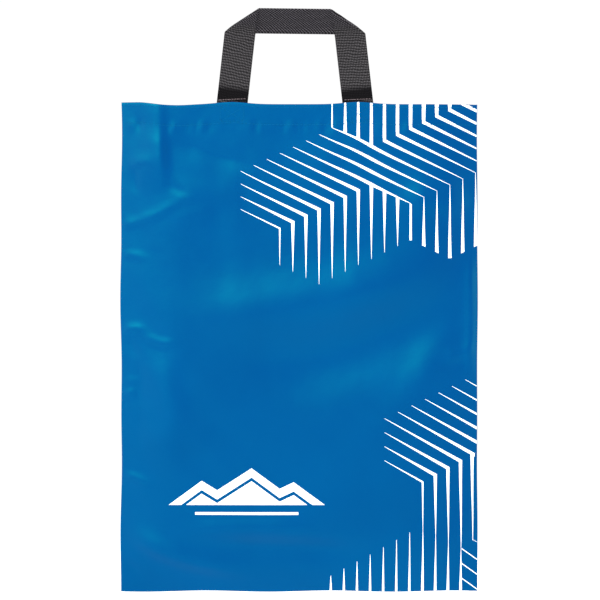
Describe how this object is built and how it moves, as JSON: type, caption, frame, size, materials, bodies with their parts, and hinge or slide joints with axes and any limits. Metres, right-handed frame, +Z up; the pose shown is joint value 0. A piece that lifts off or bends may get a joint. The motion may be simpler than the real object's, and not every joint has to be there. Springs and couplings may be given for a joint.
{
  "type": "climbing skin carrying bag",
  "caption": "Flat open-topped bag of coated nylon for ski climbing skins, with a turned hem, sewn side and bottom seams and mitred webbing carrying handles.",
  "frame": {"origin": "the point that the bag hangs from: its middle plane, midway across, between the two handles and level with the lower edges of their grips", "axes": "+X across the bag, to the right as seen from the printed front; +Z up, towards the handles; -Y out of the printed front"},
  "size_m": [0.292, 0.0496, 0.4755],
  "materials": {
    "coated_nylon": "blue plain-weave nylon with a smooth semi-gloss coating, softly creased",
    "black_webbing": "charcoal black woven polypropylene webbing, twill ribs, matt",
    "blue_thread": "blue sewing thread, a shade darker than the cloth",
    "dark_thread": "dark sewing and overlock thread",
    "white_print": "opaque white screen print, the stripes and the emblem on the front panel"
  },
  "bodies": {
    "root": {"back_panel": "coated_nylon", "back_left_overlock": "dark_thread", "back_bottom_overlock": "dark_thread", "back_right_overlock": "dark_thread", "back_hem_top_stitch": "blue_thread", "back_hem_lower_stitch": "blue_thread", "back_handle_left_end": "black_webbing", "back_left_box_stitch": "blue_thread", "back_handle_right_end": "black_webbing", "back_right_box_stitch": "blue_thread", "left_seam_stitch": "dark_thread", "right_seam_stitch": "dark_thread", "bottom_seam_stitch": "dark_thread"},
    "front": {"front_panel": "coated_nylon", "front_left_overlock": "dark_thread", "front_bottom_overlock": "dark_thread", "front_right_overlock": "dark_thread", "front_hem_top_stitch": "blue_thread", "front_hem_lower_stitch": "blue_thread", "front_handle_left_end": "black_webbing", "front_left_box_stitch": "blue_thread", "front_handle_right_end": "black_webbing", "front_right_box_stitch": "blue_thread"},
    "front_handle_loop": {"front_handle": "black_webbing", "front_left_leg_stitch": "dark_thread", "front_right_leg_stitch": "dark_thread"},
    "back_handle_loop": {"back_handle": "black_webbing", "back_left_leg_stitch": "dark_thread", "back_right_leg_stitch": "dark_thread"}
  },
  "joints": [
    {"name": "mouth_opening", "type": "hinge", "parent": "root", "child": "front", "pos_m": [0, 0, -0.458], "axis": [1, 0, 0], "range_deg": [0, 6], "stiffness_Nm_per_rad": 0.4},
    {"name": "front_handle_fold", "type": "hinge", "parent": "front", "child": "front_handle_loop", "pos_m": [0, -0.0066, -0.058], "axis": [1, 0, 0], "range_deg": [0, 160], "stiffness_Nm_per_rad": 0.012},
    {"name": "back_handle_fold", "type": "hinge", "parent": "root", "child": "back_handle_loop", "pos_m": [0, 0.0066, -0.058], "axis": [-1, 0, 0], "range_deg": [0, 160], "stiffness_Nm_per_rad": 0.012}
  ]
}
